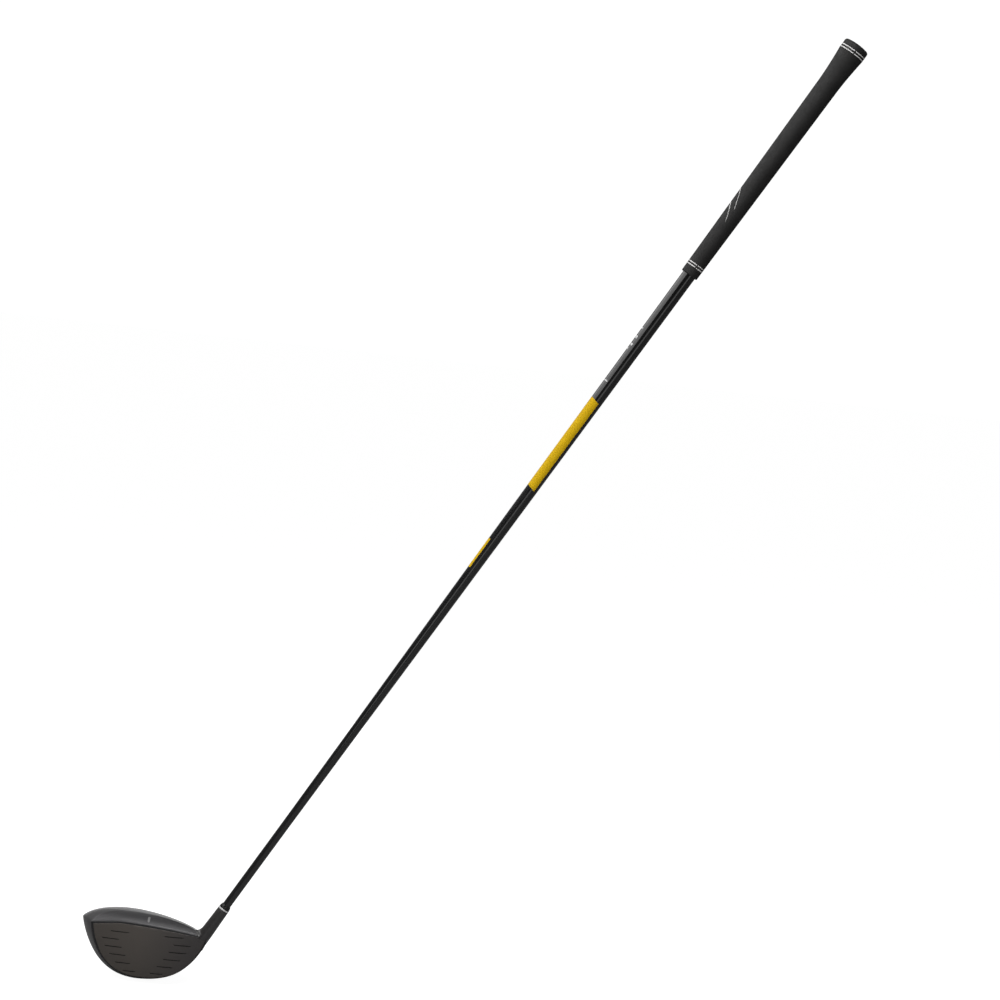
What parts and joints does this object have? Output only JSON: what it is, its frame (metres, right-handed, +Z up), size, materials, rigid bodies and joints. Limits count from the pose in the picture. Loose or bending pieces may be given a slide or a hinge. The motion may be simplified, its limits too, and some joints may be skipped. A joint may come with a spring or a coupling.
{
  "type": "golf driver",
  "caption": "Right-handed golf driver resting on its sole: hollow titanium head with a lofted, scored face, bonded black graphite shaft with a yellow band, and a slip-on rubber grip.",
  "frame": {"origin": "the point where the sole rests on the ground, in the middle of the sole's small flat", "axes": "+X from toe to heel and grip, -Y the target side that the face looks at, +Z up; the club is in its address position"},
  "size_m": [0.6863, 0.1112, 1.0102],
  "materials": {
    "face": "satin smoked bronze-grey, fine grain",
    "frame_dark": "satin black seam",
    "crown": "satin charcoal paint under clear coat",
    "sole": "satin grey-black paint",
    "hosel_black": "gloss black",
    "bare_metal": "cast, bare",
    "screw_metal": "turned face",
    "tacky_glue": "matte hot-melt glue",
    "white_paint": "paint fill",
    "bond": "cured epoxy",
    "silver_ring": "polished",
    "ferrule_black": "turned and polished",
    "shaft_black": "gloss clear coat over carbon fibre",
    "cork": "cork",
    "yellow_print": "gloss print under clear coat",
    "white_print": "gloss print under clear coat",
    "tape": "paper tape",
    "grip_rubber": "matte textured rubber"
  },
  "bodies": {
    "root": {"face_plate": "face", "face_frame": "frame_dark", "crown_plate": "crown", "sole_shell": "sole", "hosel": "hosel_black", "weight_boss": "bare_metal", "weight_screw": "screw_metal", "rattle_pad": "tacky_glue", "alignment_mark": "white_paint", "hosel_bond": "bond", "ferrule_ring": "silver_ring", "ferrule": "ferrule_black", "shaft": "shaft_black", "tip_plug": "cork", "shaft_band": "yellow_print", "shaft_bar": "yellow_print", "shaft_dashes": "white_print", "grip_tape": "tape", "grip_sleeve": "grip_rubber", "grip_cap": "grip_rubber", "cap_rings": "white_paint", "mouth_rings": "white_paint", "grip_strokes": "white_paint"}
  },
  "joints": []
}
